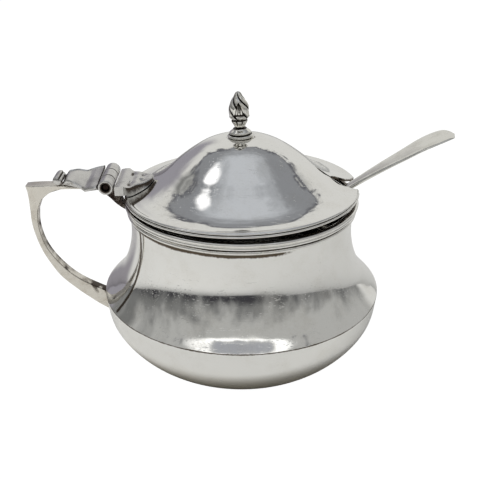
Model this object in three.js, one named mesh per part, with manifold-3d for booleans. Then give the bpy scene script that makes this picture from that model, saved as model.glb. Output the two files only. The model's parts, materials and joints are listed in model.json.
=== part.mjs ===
// Covered silver condiment pot: low-bellied bowl, domed lid on a three-knuckle hinge,
// C-shaped strap handle, flame finial, and a spoon that leaves through a notch in the lid.
// Millimetres, +Z up. The origin is the centre of the resting face; the handle is on -X,
// the spoon on +X, and the whole pot is symmetric about the XZ plane.
import * as THREE from 'three';
import { mergeVertices } from 'three/addons/utils/BufferGeometryUtils.js';
import Module from 'manifold-3d';

const wasm = await Module();
wasm.setup();

// Driving dimensions.
const turns = 48; // facets round every large turned piece
const smallTurns = 24; // facets round the knuckles and the finial's foot
const sheet = 0.8; // thickness of the raised silver
const seam = 0.05; // soldered joint between two coaxial pieces
const clearance = 0.3; // round a piece that is fitted against another one

const baseRadius = 24.9;
const bellyRadius = 42.0;
const girdleHeight = 22.1; // the crease where bowl and wall meet
const girdleInside = bellyRadius - 1.3 * sheet; // the walls slope there, so the seam is wider than the sheet
const neckRadius = 32.9;
const neckHeight = 43.5;
const brimRadius = 33.1; // the wall flares this little at its top
const wallTop = 50.3;
const mouthTop = 50.9;
const mouthRadius = 34.6;

const lidBottom = 51.2;
const lidRadius = 34.6;
const lidEdge = 34.2;
const lidEdgeHeight = 52.95;
const lidApex = 68.0;
const rimWireHeight = 0.9;
const rimWireBack = 33.2;
const notchDepth = [45, 65]; // heights between which the notch is cut

const hingeX = -38.9;
const hingeZ = 56.1;
const knuckleRadius = 2.15;
const knuckleBore = 1.25;
const hingeLength = 16.0;
const knuckleGap = 0.2;
const pinRadius = 0.9;
const pinInset = 0.8; // the pin is this much shorter than the knuckles together
const lidAjar = THREE.MathUtils.degToRad(1.3); // the lid rests this far open on the spoon

const strapWidth = 3.4;
const earX = -63.6;
const plateTop = 54.3; // top of the handle at the ear
const strapTop = 54.0; // top of the handle under the leaf
const leafDepth = [50, 60]; // heights that hold either cast leaf
const leafHalfWidth = 7.9; // of both leaves beside the knuckles

const studRadius = 0.8;
const studBore = 1.2;
const studFoot = 64.9; // the stud ends inside the nut
const flangeRadius = 3.75;
const knopRadius = 3.25;
const budTip = 81.9;
const budTurns = 20;
const budLean = THREE.MathUtils.degToRad(2.0);
const nutRadius = 2.6;
const nutHeight = 1.5;

const spoonBowl = { length: 24, width: 14.6, depth: 4.2, sheet: 0.9, slope: -46, centre: [-17.3, 0, 10.9] };
const stemWidth = 12; // wider than the stem anywhere, before it is cut in plan
const stemTop = 80; // higher than the stem anywhere

// Finishes.
function silver(color, roughness) {
  return new THREE.MeshStandardMaterial({ color, roughness, metalness: 1 });
}
const polished = () => silver(0xd6d5d0, 0.12);
const wire = () => silver(0xc4c2ba, 0.2);
const cast = () => silver(0xbdb8ad, 0.35);
const dark = () => silver(0x8b8378, 0.45);

function point(x, y) {
  return new THREE.Vector2(x, y);
}

function spline(pairs, count) {
  return new THREE.SplineCurve(pairs.map(([x, y]) => point(x, y))).getPoints(count);
}

// The same line moved sideways by a distance, towards its left-hand side.
function offset(line, distance) {
  return line.map((here, i) => {
    const before = line[Math.max(i - 1, 0)];
    const after = line[Math.min(i + 1, line.length - 1)];
    const along = after.clone().sub(before).normalize();
    return point(here.x - along.y * distance, here.y + along.x * distance);
  });
}

// Turns a profile of (radius, height) points about +Z.
function turned(profile, facets = turns) {
  return new THREE.LatheGeometry(profile, facets).rotateX(Math.PI / 2);
}

function ring(profile, facets = turns) {
  return turned([...profile, profile[0].clone()], facets);
}

// A flat outline in the XZ plane, given its width along Y about the XZ plane.
function sidePlate(outline, width) {
  const settings = { depth: width, bevelEnabled: false, steps: 1 };
  const geometry = new THREE.ExtrudeGeometry(new THREE.Shape(outline), settings);
  return geometry.translate(0, 0, -width / 2).rotateX(Math.PI / 2);
}

// A flat outline in the XY plane, standing from one height to another.
function prism(outline, bottom, top) {
  const settings = { depth: top - bottom, bevelEnabled: false, steps: 1 };
  return new THREE.ExtrudeGeometry(new THREE.Shape(outline), settings).translate(0, 0, bottom);
}

// An outline from half of it: the other half is its mirror image across the X axis.
function mirrored(half) {
  const other = half.filter((p) => p.y > 0).map((p) => point(p.x, -p.y));
  return [...half, ...other.reverse()];
}

function toSolid(geometry) {
  const bare = geometry.clone();
  bare.deleteAttribute('normal');
  bare.deleteAttribute('uv');
  const merged = mergeVertices(bare, 1e-4);
  return new wasm.Manifold(new wasm.Mesh({
    numProp: 3,
    vertProperties: new Float32Array(merged.attributes.position.array),
    triVerts: new Uint32Array(merged.index.array),
  }));
}

function toGeometry(solid) {
  const mesh = solid.getMesh();
  const geometry = new THREE.BufferGeometry();
  geometry.setAttribute('position', new THREE.BufferAttribute(mesh.vertProperties, 3));
  geometry.setIndex(new THREE.BufferAttribute(mesh.triVerts, 1));
  geometry.computeVertexNormals();
  return geometry;
}

function piece(name, geometry, material) {
  const mesh = new THREE.Mesh(geometry, material);
  mesh.name = name;
  return mesh;
}

// The bowl below the girdle crease, closed by its flat bottom.
function lowerBowl() {
  const outer = spline([
    [baseRadius, 0], [30.1, 2.5], [36.1, 7.6], [40.6, 14.4], [bellyRadius, girdleHeight],
  ], 9);
  const inner = offset(outer, sheet).reverse();
  inner[0] = point(girdleInside, girdleHeight);
  inner[inner.length - 1] = point(baseRadius, sheet);
  return piece('lower_bowl', turned([point(0, 0), ...outer, ...inner, point(0, sheet)]), polished());
}

// The waisted wall between the girdle crease and the mouth.
function bodyWall() {
  const outer = spline([
    [bellyRadius, girdleHeight + seam], [38.9, 25.4], [36.5, 28.6], [34.9, 32], [33.7, 36],
    [33.05, 40], [neckRadius, neckHeight], [33.05, 47], [brimRadius, wallTop],
  ], 12);
  const inner = offset(outer, sheet).reverse();
  inner[0].y = wallTop;
  inner[inner.length - 1] = point(girdleInside, girdleHeight + seam);
  return piece('body_wall', ring([...outer, ...inner]), polished());
}

// Half a round, bulging outwards, given its centre and its own radius.
function bead(radius, height, size) {
  const arc = new THREE.EllipseCurve(radius, height, size, size, -Math.PI / 2, Math.PI / 2);
  return arc.getPoints(4);
}

// Two beads drawn as one wire, outside the top of the wall.
function mouthWire() {
  const back = brimRadius + 2 * seam;
  const large = 0.62;
  const small = 0.5;
  const upper = bead(mouthRadius - large, mouthTop - large, large);
  const lower = bead(mouthRadius - 0.85, mouthTop - 1.75, small);
  const profile = [point(back, lower[0].y - 0.35), ...lower, ...upper, point(back, mouthTop)];
  return piece('mouth_wire', ring(profile), wire());
}

// A single bead a little below the mouth.
function neckWire() {
  const back = 33.05 + 3 * seam;
  const size = 0.52;
  const height = 47.75;
  const round = bead(back + 0.25, height, size);
  return piece('neck_wire', ring([point(back, round[0].y), ...round, point(back, height + size)]), wire());
}

// C-shaped strap: outer line from the ear down to the root, then the inner line back up.
function handle() {
  const outer = spline([
    [earX, plateTop], [-63.15, 51.5], [-63.05, 47], [-62.9, 41.5], [-61.8, 36], [-59.6, 30.4],
    [-56.2, 24.8], [-51.1, 19.8], [-45.8, 15.5], [-39.45, 11.4],
  ], 14);
  const root = spline([[-39.45, 11.4], [-40.95, 14.3], [-41.8, 17], [-42.15, 19.2]], 4);
  const inner = spline([
    [-42.15, 19.2], [-44.4, 20.3], [-49.2, 22.9], [-53.4, 26.2], [-57.3, 30.8], [-60.0, 36],
    [-61.0, 41.5], [-60.7, 46.5], [-59.3, 49.7], [-56.6, 52.0], [-53.2, 53.1], [-49.5, 53.2],
  ], 15);
  const outline = [
    ...outer, ...root.slice(1), ...inner.slice(1),
    point(-42.7, 53.2), point(-42.7, strapTop), point(-50.4, strapTop), point(-52.6, plateTop + 0.25),
  ];
  return piece('handle', sidePlate(outline, strapWidth), cast());
}

// The strut under the hinge, from the knuckles down to the neck of the body.
function hingeBracket() {
  const outline = [
    point(-42.3, 53.6), point(-42.3, 53.1), point(-39.9, 51.5), point(-37.8, 49.4),
    point(-35.6, 47.5), point(-33.55, 46.4), point(-33.55, 47.0), point(-34.75, 47.6),
    point(-35.0, 50.9), point(-36.1, 51.6), point(-36.7, 53.0), point(-37.6, 53.6),
  ];
  return piece('hinge_bracket', sidePlate(outline, strapWidth), dark());
}

// A length of tube round the hinge line, from one place along it to another.
function knuckle(name, from, to) {
  const profile = [
    point(knuckleBore, from), point(knuckleRadius, from),
    point(knuckleRadius, to), point(knuckleBore, to), point(knuckleBore, from),
  ];
  return piece(name, new THREE.LatheGeometry(profile, smallTurns), cast());
}

function hingePin() {
  const length = hingeLength - pinInset;
  return piece('hinge_pin', new THREE.CylinderGeometry(pinRadius, pinRadius, length, 16), dark());
}

// Wavy cast leaf on top of the handle, ending in a rolled volute.
function fixedLeaf() {
  const right = hingeX - knuckleRadius - clearance;
  const underside = strapTop + clearance;
  const crest = spline([
    [right, 57.2], [-43.4, 56.7], [-45.4, 56.1], [-47.4, 57.0], [-49.6, 58.0], [-51.3, 57.3],
    [-52.3, 56.6],
  ], 14);
  const volute = new THREE.EllipseCurve(-53.6, 56.25, 1.45, 1.35, 0.3, Math.PI * 1.5).getPoints(8);
  const side = [
    ...crest, ...volute, point(-52.0, 54.9), point(-50.4, underside), point(right, underside),
  ];
  const plan = mirrored([
    point(right + 1, 0), point(right + 1, leafHalfWidth), point(-42.6, leafHalfWidth),
    point(-45.0, 6.9), point(-46.2, 5.4), point(-48.4, 5.0), point(-50.2, 3.7), point(-52, 3.1),
    point(-56, 3.0), point(-56, 0),
  ]);
  const bulk = toSolid(prism(plan, ...leafDepth));
  const cut = toSolid(sidePlate(side, hingeLength)).intersect(bulk);
  return piece('fixed_leaf', toGeometry(cut), cast());
}

// The dome's outer line, from the bore at its top to its edge.
function lidLine() {
  return spline([
    [studBore, lidApex], [3.6, lidApex - 0.03], [7, 67.6], [11, 66.1], [15, 63.4], [19, 60.3],
    [22, 58.1], [25, 55.9], [28, 54.05], [31, 53.05], [lidEdge, lidEdgeHeight],
  ], 15);
}

// Keyhole notch: a slit up the flank of the dome, a pinch, and a mouth open at the rim.
function notchPrism() {
  const half = [
    [21.6, 0], [22.6, 0.6], [24.0, 0.85], [25.2, 0.55], [25.9, 0.5], [26.4, 1.1], [27.0, 2.1],
    [27.8, 2.9], [28.8, 3.3], [30.0, 3.2], [31.0, 3.2], [31.8, 3.7], [32.8, 4.3], [33.6, 4.9],
    [34.1, 6.5], [36.5, 8.5],
  ].map(([x, y]) => point(x, y));
  return prism(mirrored(half), ...notchDepth);
}

function lidDome() {
  const outer = lidLine();
  const inner = offset(outer, -sheet);
  inner[0] = point(studBore, lidApex - sheet);
  inner[inner.length - 1] = point(lidEdge, lidEdgeHeight - sheet);
  const shell = toSolid(ring([...inner, ...outer.reverse()]));
  return piece('lid_dome', toGeometry(shell.subtract(toSolid(notchPrism()))), polished());
}

// Half-round wire under the edge of the dome, open where the notch is.
function lidRimWire() {
  const half = rimWireHeight / 2;
  const round = bead(lidRadius - half, lidBottom + half - seam, half - seam);
  const top = round[round.length - 1].y;
  const profile = [point(rimWireBack, round[0].y), ...round, point(rimWireBack, top)];
  const cut = toSolid(ring(profile)).subtract(toSolid(notchPrism()));
  return piece('lid_rim_wire', toGeometry(cut), wire());
}

// Three-lobed cast leaf that carries the lid on the middle knuckle.
function lidLeaf() {
  const left = hingeX + knuckleRadius + 0.35;
  const crest = spline([
    [left, 56.1], [-34.4, 56.15], [-33.4, 55.7], [-31.4, 56.1], [-29.0, 56.0], [-27, 56.0],
    [-25.6, 56.0],
  ], 10);
  const side = [...crest, point(-25.6, 53.4), point(left, 53.4)];
  const plan = mirrored([
    point(left - 1, 0), point(left - 1, leafHalfWidth), point(-33.6, leafHalfWidth),
    point(-33.1, 7.2), point(-31.7, 6.6), point(-30.7, 4.9), point(-28.9, 4.4), point(-27.3, 3.2),
    point(-26.2, 1.5), point(-25.9, 0),
  ]);
  const lidBulk = toSolid(turned([
    point(0, 40), point(lidRadius, 40), ...lidLine().reverse(), point(0, lidApex),
  ])).translate([0, 0, clearance]);
  const bulk = toSolid(prism(plan, ...leafDepth));
  const cut = toSolid(sidePlate(side, hingeLength)).intersect(bulk).subtract(lidBulk);
  return piece('lid_leaf', toGeometry(cut), cast());
}

// The finial's turned foot: a flange, a neck and a knop.
function finialCollar() {
  const bottom = lidApex + seam;
  const profile = [
    point(studBore, bottom), point(flangeRadius, bottom), point(flangeRadius, bottom + 0.5),
    point(2.7, bottom + 0.95), point(knopRadius, bottom + 1.35), point(knopRadius, bottom + 1.95),
    point(2.3, bottom + 2.6), point(studBore, bottom + 2.75),
  ];
  return piece('finial_collar', ring(profile, smallTurns), cast());
}

// The flame bud and, in one piece with it, the stud that runs down through the lid.
function finialBud() {
  const bottom = lidApex + 3.1;
  const flame = spline([
    [1.5, bottom], [1.75, 71.9], [2.35, 72.8], [2.85, 74.3], [2.97, 76], [2.9, 77.2], [2.3, 78.4],
    [1.5, 79.6], [0.9, 80.8], [0.35, 81.7],
  ], 14);
  const profile = [
    point(0, studFoot), point(studRadius, studFoot), point(studRadius, bottom), ...flame, point(0, budTip),
  ];
  const mesh = piece('finial_bud', turned(profile, budTurns).translate(0, 0, -lidApex), cast());
  mesh.position.z = lidApex;
  mesh.rotation.y = -budLean;
  return mesh;
}

// Hexagonal nut on the stud, inside the lid.
function finialNut() {
  const bore = toSolid(new THREE.CylinderGeometry(studBore, studBore, 4 * nutHeight, smallTurns));
  const hexagon = toSolid(new THREE.CylinderGeometry(nutRadius, nutRadius, nutHeight, 6)).subtract(bore);
  const geometry = toGeometry(hexagon).rotateX(Math.PI / 2).translate(0, 0, lidApex - sheet - 0.8);
  return piece('finial_nut', geometry, dark());
}

// The spoon's stem is a thin arched strip in the XZ plane, cut to its width in plan; the bowl is
// the lower half of a hollow egg, tipped to lie along the stem.
function spoon() {
  const top = spline([
    [61.2, 69.75], [59.2, 69.85], [56.5, 69.0], [52, 66.9], [46.5, 63.6], [41, 60.3], [36, 57.1],
    [30, 53.1], [22, 47.4], [12, 39.5], [2, 30.6], [-6, 22.6], [-11, 17.2],
  ], 22);
  const thickness = (x) => THREE.MathUtils.clamp(1.45 - Math.abs(x - 24) * 0.019, 0.75, 1.4);
  const under = top.map((p) => point(p.x + 0.55 * thickness(p.x), p.y - thickness(p.x) * 0.85));
  const side = [...top, ...under.reverse()];
  const plan = mirrored([
    point(61.3, 0), point(60.9, 1.5), point(59.9, 3.0), point(58.2, 4.1), point(55.6, 4.65),
    point(52, 4.4), point(46, 3.55), point(40, 2.85), point(34, 2.2), point(26, 1.75), point(10, 1.5),
    point(-4, 1.6), point(-9, 2.1), point(-13, 3.0), point(-13, 0),
  ]);
  const stem = toSolid(sidePlate(side, stemWidth)).intersect(toSolid(prism(plan, 0, stemTop)));
  const half = [spoonBowl.length / 2, spoonBowl.width / 2, spoonBowl.depth];
  const hollow = half.map((size) => size - spoonBowl.sheet);
  const egg = () => new THREE.SphereGeometry(1, 24, 16);
  const block = new THREE.BoxGeometry(4 * half[0], 4 * half[1], 2 * half[2]);
  const above = toSolid(block.translate(0, 0, half[2]));
  const shell = toSolid(egg().scale(...half)).subtract(toSolid(egg().scale(...hollow))).subtract(above);
  const bowl = shell.rotate([0, spoonBowl.slope, 0]).translate(spoonBowl.centre);
  return piece('spoon', toGeometry(stem.add(bowl)), polished());
}

// Assembly: the fixed half of the hinge, the lid that turns about it, and the loose spoon.
const pot = new THREE.Group();
pot.add(lowerBowl(), bodyWall(), mouthWire(), neckWire());
pot.add(handle(), hingeBracket(), fixedLeaf());

const hinge = new THREE.Group();
hinge.position.set(hingeX, 0, hingeZ);
const third = hingeLength / 3;
hinge.add(knuckle('knuckle_near', -hingeLength / 2, -third / 2 - knuckleGap / 2));
hinge.add(knuckle('knuckle_far', third / 2 + knuckleGap / 2, hingeLength / 2));
hinge.add(hingePin());
pot.add(hinge);

const lid = new THREE.Group();
lid.position.set(hingeX, 0, hingeZ);
lid.rotation.y = -lidAjar;
lid.add(knuckle('knuckle_lid', -third / 2 + knuckleGap / 2, third / 2 - knuckleGap / 2));
const lidShape = new THREE.Group();
lidShape.position.set(-hingeX, 0, -hingeZ);
lidShape.add(lidDome(), lidRimWire(), lidLeaf(), finialCollar(), finialBud(), finialNut());
lid.add(lidShape);
pot.add(lid);

pot.add(spoon());

export default pot;
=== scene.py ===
import json
from functools import reduce
from math import radians

import bmesh
import bpy
import numpy as np
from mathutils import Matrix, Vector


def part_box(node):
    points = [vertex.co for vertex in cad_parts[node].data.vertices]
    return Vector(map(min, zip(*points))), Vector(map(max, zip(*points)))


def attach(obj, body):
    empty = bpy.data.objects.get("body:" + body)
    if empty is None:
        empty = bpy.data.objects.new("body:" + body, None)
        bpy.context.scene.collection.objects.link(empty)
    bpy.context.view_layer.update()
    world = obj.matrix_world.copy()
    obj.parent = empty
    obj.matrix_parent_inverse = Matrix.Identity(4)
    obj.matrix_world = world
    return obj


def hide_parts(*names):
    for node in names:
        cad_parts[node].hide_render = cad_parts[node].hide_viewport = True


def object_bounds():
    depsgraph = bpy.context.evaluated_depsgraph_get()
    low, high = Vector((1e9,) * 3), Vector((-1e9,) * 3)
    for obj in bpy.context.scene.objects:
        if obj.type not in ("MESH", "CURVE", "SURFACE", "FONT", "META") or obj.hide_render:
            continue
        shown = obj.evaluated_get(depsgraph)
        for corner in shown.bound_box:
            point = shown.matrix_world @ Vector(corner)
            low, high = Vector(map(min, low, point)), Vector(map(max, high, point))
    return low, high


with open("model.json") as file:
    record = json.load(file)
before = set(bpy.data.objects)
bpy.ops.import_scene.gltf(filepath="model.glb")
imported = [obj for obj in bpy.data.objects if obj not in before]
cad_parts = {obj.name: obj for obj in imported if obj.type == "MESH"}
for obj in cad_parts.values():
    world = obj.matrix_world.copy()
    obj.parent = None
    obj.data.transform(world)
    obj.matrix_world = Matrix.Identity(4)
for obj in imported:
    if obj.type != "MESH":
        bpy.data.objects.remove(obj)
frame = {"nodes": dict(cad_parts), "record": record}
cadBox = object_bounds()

print("frame loaded")

mm = 0.001  # outlines below are in millimetres, meshes in metres
fullTurn = 2 * np.pi
weldDistance = 5e-7  # metres


def plain(box):
    return [[float(number) for number in corner] for corner in box]


def boxOf(node):
    return np.array(plain(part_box(node))) / mm


# driving places, all read from the frame
girdleHeight = boxOf("lower_bowl")[1][2]
bellyRadius = boxOf("lower_bowl")[1][0]
wallTop = boxOf("body_wall")[1][2]
joints = {joint["name"]: joint for joint in frame["record"]["behaviour"]["joints"]}
hingeX, hingeZ = np.array(joints["lid_hinge"]["pos_m"])[[0, 2]] / mm


def smoothLine(points, count):
    # cubic through the points: each span is a Hermite curve whose end slopes are taken from
    # its neighbours, and the result is spaced evenly by length
    p = np.array(points, float)
    t = np.concatenate([[0], np.cumsum(np.sqrt(np.linalg.norm(np.diff(p, axis=0), axis=1)))])
    slope = np.gradient(p, t, axis=0)
    s = np.linspace(0, t[-1], count * 8)
    k = np.clip(np.searchsorted(t, s, side="right") - 1, 0, len(t) - 2)
    span = (t[k + 1] - t[k])[:, None]
    u = (s - t[k])[:, None] / span
    line = (
        (2 * u**3 - 3 * u**2 + 1) * p[k]
        + (u**3 - 2 * u**2 + u) * span * slope[k]
        + (3 * u**2 - 2 * u**3) * p[k + 1]
        + (u**3 - u**2) * span * slope[k + 1]
    )
    return evenLine(line, count)


def evenLine(points, count):
    # the same line with points at equal steps of length
    p = np.array(points, float)
    run = np.concatenate([[0], np.cumsum(np.linalg.norm(np.diff(p, axis=0), axis=1))])
    at = np.linspace(0, run[-1], count)
    return np.stack([np.interp(at, run, p[:, axis]) for axis in range(p.shape[1])], -1)


def joined(*stretches):
    # stretches laid end to end, each after the first without its first point
    return np.concatenate([stretches[0]] + [stretch[1:] for stretch in stretches[1:]])


def shifted(line, distance):
    # every point moved sideways, square to the line, to the right of its run
    run = np.gradient(line, axis=0)
    run /= np.linalg.norm(run, axis=1, keepdims=True)
    return line + np.stack([run[:, 1], -run[:, 0]], -1) * distance


def roundedLoop(points, radii, steps=5):
    # a closed loop in which each corner is a short parabola that leaves and rejoins its sides
    # a radius away; where the radius is 0 the point stays as it is
    p = np.array(points, float)
    r = np.array(radii, float)[:, None]
    back = np.roll(p, 1, 0) - p
    ahead = np.roll(p, -1, 0) - p
    back /= np.linalg.norm(back, axis=1, keepdims=True)
    ahead /= np.linalg.norm(ahead, axis=1, keepdims=True)
    t = np.linspace(0, 1, steps)[None, :, None]
    start, middle, end = (p + back * r)[:, None], p[:, None], (p + ahead * r)[:, None]
    curve = (1 - t) ** 2 * start + 2 * t * (1 - t) * middle + t**2 * end
    keep = np.ones(curve.shape[:2], bool)
    keep[r[:, 0] == 0, 1:] = False
    return curve[keep]


def ease(value, low, high):
    # 0 below low, 1 above high, and a smooth step between them
    t = np.clip((value - low) / (high - low), 0, 1)
    return t * t * (3 - 2 * t)


def hump(value, centre, width):
    # a bell curve of height 1
    return np.exp(-(((value - centre) / width) ** 2))


def humps(value, marks):
    # a sum of bell curves, each given as its height, centre and width
    return sum(height * hump(value, centre, width) for height, centre, width in marks)


def bothEnds(part, width):
    # a bell curve at each end of a part that runs from 0 to 1
    return hump(part, 0, width) + hump(part, 1, width)


def turned(profile, angles):
    # a profile of (radius, height) carried round the upright axis
    r, z = profile[:, :1], profile[:, 1:]
    return np.stack([r * np.cos(angles), r * np.sin(angles), z + 0 * angles], -1)


def roundAngles(count):
    return np.linspace(0, fullTurn, count, endpoint=False)[None, :]


def handWork(grid, amount, grain, seed, waves=14):
    # the slow unevenness that a hammer and a buff leave: a sum of plane waves with random
    # headings, phases and wavelengths about the grain size, scaled to the given depth
    draw = np.random.default_rng(seed)
    heading = draw.normal(size=(waves, 3))
    heading /= np.linalg.norm(heading, axis=1, keepdims=True)
    heading *= fullTurn / (grain * draw.uniform(0.7, 1.8, (waves, 1)))
    phase = draw.uniform(0, fullTurn, waves)
    return amount * np.sin(grid @ heading.T + phase).sum(-1) / np.sqrt(waves)


def sideways(grid, depth):
    # moves a grid of revolution along the level direction away from the axis
    flat = grid * [1, 1, 0]
    away = flat / np.maximum(np.linalg.norm(flat, axis=-1, keepdims=True), 1e-6)
    return grid + away * depth[..., None]


def closedEnds(grid):
    # a tube whose first and last rings are drawn in to their middles
    first = np.broadcast_to(grid[:1].mean(1, keepdims=True), grid[:1].shape)
    last = np.broadcast_to(grid[-1:].mean(1, keepdims=True), grid[-1:].shape)
    return np.concatenate([first, grid, last])


def gridFaces(rows, columns, wrapRows, wrapColumns):
    # the four corners of every cell, with the last row or column joined to the first if asked
    i = np.arange(rows if wrapRows else rows - 1)[:, None]
    j = np.arange(columns if wrapColumns else columns - 1)[None, :]
    below, right = (i + 1) % rows, (j + 1) % columns
    corners = [i * columns + j, below * columns + j, below * columns + right, i * columns + right]
    return np.stack(corners, -1).reshape(-1, 4)


def outwardFaces(points, faces):
    # the sum of the pyramids from the origin to each face is negative when they look inwards
    a, b, c, d = (points[faces[:, corner]] for corner in range(4))
    volume = np.einsum("ij,ij->", a, np.cross(b, c)) + np.einsum("ij,ij->", a, np.cross(c, d))
    return faces[:, ::-1] if volume < 0 else faces


def sheet(grid, tarnishAndShade=0.0, wrapRows=True, wrapColumns=True, extra=None):
    # one closed surface of a piece, with a darkness for each point that holds tarnish in crevices and painted
    # shade inside, under and behind parts
    rows, columns = grid.shape[:2]
    points = grid.reshape(-1, 3)
    faces = gridFaces(rows, columns, wrapRows, wrapColumns)
    if extra is not None:
        faces = np.concatenate([faces, extra])
    depth = np.broadcast_to(tarnishAndShade, (rows, columns)).reshape(-1)
    return points, outwardFaces(points, faces), depth


def capped(grid, tarnishAndShade):
    # a tube closed at both ends, whose end caps are clean
    dark = np.broadcast_to(tarnishAndShade, grid.shape[:2])
    return sheet(closedEnds(grid), np.pad(dark, ((1, 1), (0, 0))), wrapRows=False)


def makePiece(name, sheets, body, nodes, material, sharpAngle=40):
    # one mesh of all the sheets, which keeps the darkness of each point, tarnish in crevices and painted
    # shade, as an attribute and stands in for nodes of the frame
    points, faces, depths = zip(*sheets)
    starts = np.cumsum([0] + [len(part) for part in points])
    faces = np.concatenate([part + start for part, start in zip(faces, starts)])
    mesh = bpy.data.meshes.new(name)
    mesh.from_pydata((np.concatenate(points) * mm).tolist(), [], faces.tolist())
    layer = mesh.attributes.new("tarnishAndShade", "FLOAT", "POINT")
    layer.data.foreach_set("value", np.clip(np.concatenate(depths), 0, 1).astype(np.float32))
    work = bmesh.new()
    work.from_mesh(mesh)
    bmesh.ops.remove_doubles(work, verts=work.verts, dist=weldDistance)
    work.to_mesh(mesh)
    work.free()
    mesh.polygons.foreach_set("use_smooth", np.ones(len(mesh.polygons), bool))
    mesh.set_sharp_from_angle(angle=radians(sharpAngle))
    piece = bpy.data.objects.new(name, mesh)
    bpy.context.scene.collection.objects.link(piece)
    piece.data.materials.append(material)
    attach(piece, body)
    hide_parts(*nodes)


def put(tree, kind, **settings):
    node = tree.nodes.new(kind)
    for name, value in settings.items():
        setattr(node, name, value)
    return node


def feed(tree, socket, value):
    if isinstance(value, bpy.types.NodeSocket):
        tree.links.new(value, socket)
    else:
        socket.default_value = value


def calc(tree, operation, *values):
    node = put(tree, "ShaderNodeMath", operation=operation)
    for socket, value in zip(node.inputs, values):
        feed(tree, socket, value)
    return node.outputs[0]


def product(tree, *factors):
    return reduce(lambda first, second: calc(tree, "MULTIPLY", first, second), factors)


def total(tree, *terms):
    return reduce(lambda first, second: calc(tree, "ADD", first, second), terms)


def step(tree, value, low, high):
    # smooth step from 0 at low to 1 at high; low may be the larger
    node = put(tree, "ShaderNodeMapRange", interpolation_type="SMOOTHSTEP")
    feed(tree, node.inputs["Value"], value)
    feed(tree, node.inputs["From Min"], low)
    feed(tree, node.inputs["From Max"], high)
    return node.outputs["Result"]


def blendTone(tree, factor, first, second):
    # sockets 6 and 7 of a mix of colours are its two colours, and 2 is the result
    node = put(tree, "ShaderNodeMix", data_type="RGBA")
    feed(tree, node.inputs[0], factor)
    feed(tree, node.inputs[6], first)
    feed(tree, node.inputs[7], second)
    return node.outputs[2]


def grainNoise(tree, vector, scale, detail=2.0, rough=0.5):
    node = put(tree, "ShaderNodeTexNoise")
    feed(tree, node.inputs["Vector"], vector)
    feed(tree, node.inputs["Scale"], scale)
    feed(tree, node.inputs["Detail"], detail)
    feed(tree, node.inputs["Roughness"], rough)
    return node.outputs["Fac"]


def newGroup(name, inputs, outputs):
    group = bpy.data.node_groups.new(name, "ShaderNodeTree")
    for label, value in inputs.items():
        socket = group.interface.new_socket(label, in_out="INPUT", socket_type="NodeSocketFloat")
        socket.default_value = value
    for label in outputs:
        group.interface.new_socket(label, in_out="OUTPUT", socket_type="NodeSocketFloat")
    return group, put(group, "NodeGroupInput"), put(group, "NodeGroupOutput")


wearShape = {
    "headings": ((12, 20), (74, -35), (131, 60)),  # turn and tilt of each set of hairlines, degrees
    "stretch": (60, 2600, 2600), "hairline": (0.66, 0.72), "gateScale": 90, "gateFull": 0.9,
    "speckleScale": 1900.0, "driftScale": 130.0, "darkFrom": (0.32, 0.72), "veilFrom": (0.42, 0.74),
    "veilSpeckle": 0.6, "pitScale": 2600.0, "pitFrom": (0.34, 0.2), "peelScale": 420.0,
}


def buildScratches(shape):
    # hairlines from years of polishing: three noises stretched along different headings, each
    # cut to its thin crests and let through only in patches
    group, given, result = newGroup("polishScratches", {"Length": 1.0, "Density": 0.5}, ["Lines"])
    place = put(group, "ShaderNodeTexCoord").outputs["Object"]
    lines = 0.0
    for turn, tilt in shape["headings"]:
        mapping = put(group, "ShaderNodeMapping")
        mapping.inputs["Rotation"].default_value = (radians(tilt), radians(tilt / 2), radians(turn))
        mapping.inputs["Scale"].default_value = shape["stretch"]
        feed(group, mapping.inputs["Vector"], place)
        crest = grainNoise(group, mapping.outputs[0], given.outputs["Length"], 1.0)
        patch = grainNoise(group, place, shape["gateScale"] + turn, 1.0)
        line = step(group, crest, *shape["hairline"])
        gate = step(group, patch, calc(group, "SUBTRACT", 1.0, given.outputs["Density"]), shape["gateFull"])
        lines = calc(group, "MAXIMUM", lines, product(group, line, gate))
    feed(group, result.inputs["Lines"], lines)
    return group


def buildTarnishShade(shape):
    # dark sulphide that stays where a cloth can't reach, and painted shade: the darkness attribute, which
    # holds both, broken up by a fine speckle, with a thin cloud of tarnish over the open surface
    inputs = {"Crevice": 1.0, "Speckle": 0.5, "Cloud": 0.1, "Grain": 1.0}
    group, given, result = newGroup("sulphideTarnishAndShade", inputs, ["Dark", "Cloud"])
    place = put(group, "ShaderNodeTexCoord").outputs["Object"]
    tarnishAndShade = put(group, "ShaderNodeAttribute", attribute_name="tarnishAndShade").outputs["Fac"]
    grain = given.outputs["Grain"]
    fine = grainNoise(group, place, product(group, grain, shape["speckleScale"]), 4.0, 0.7)
    broad = grainNoise(group, place, product(group, grain, shape["driftScale"]), 5.0, 0.65)
    speck = product(group, calc(group, "SUBTRACT", fine, 0.5), given.outputs["Speckle"])
    drift = calc(group, "SUBTRACT", broad, 0.5)
    depth = product(group, tarnishAndShade, given.outputs["Crevice"])
    feed(group, result.inputs["Dark"], step(group, total(group, depth, speck, drift), *shape["darkFrom"]))
    mist = total(group, broad, product(group, speck, shape["veilSpeckle"]))
    veil = step(group, mist, *shape["veilFrom"])
    feed(group, result.inputs["Cloud"], product(group, veil, given.outputs["Cloud"]))
    return group


def buildPits(shape):
    # the fine pitting and soft orange peel of an old surface, as a height
    group, given, result = newGroup("oldSurface", {"Pits": 0.3, "Peel": 0.3}, ["Height"])
    place = put(group, "ShaderNodeTexCoord").outputs["Object"]
    pits = step(group, grainNoise(group, place, shape["pitScale"], 2.0), *shape["pitFrom"])
    peel = grainNoise(group, place, shape["peelScale"], 3.0)
    pitted = product(group, pits, product(group, given.outputs["Pits"], -1.0))
    feed(group, result.inputs["Height"], total(group, pitted, product(group, peel, given.outputs["Peel"])))
    return group


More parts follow.
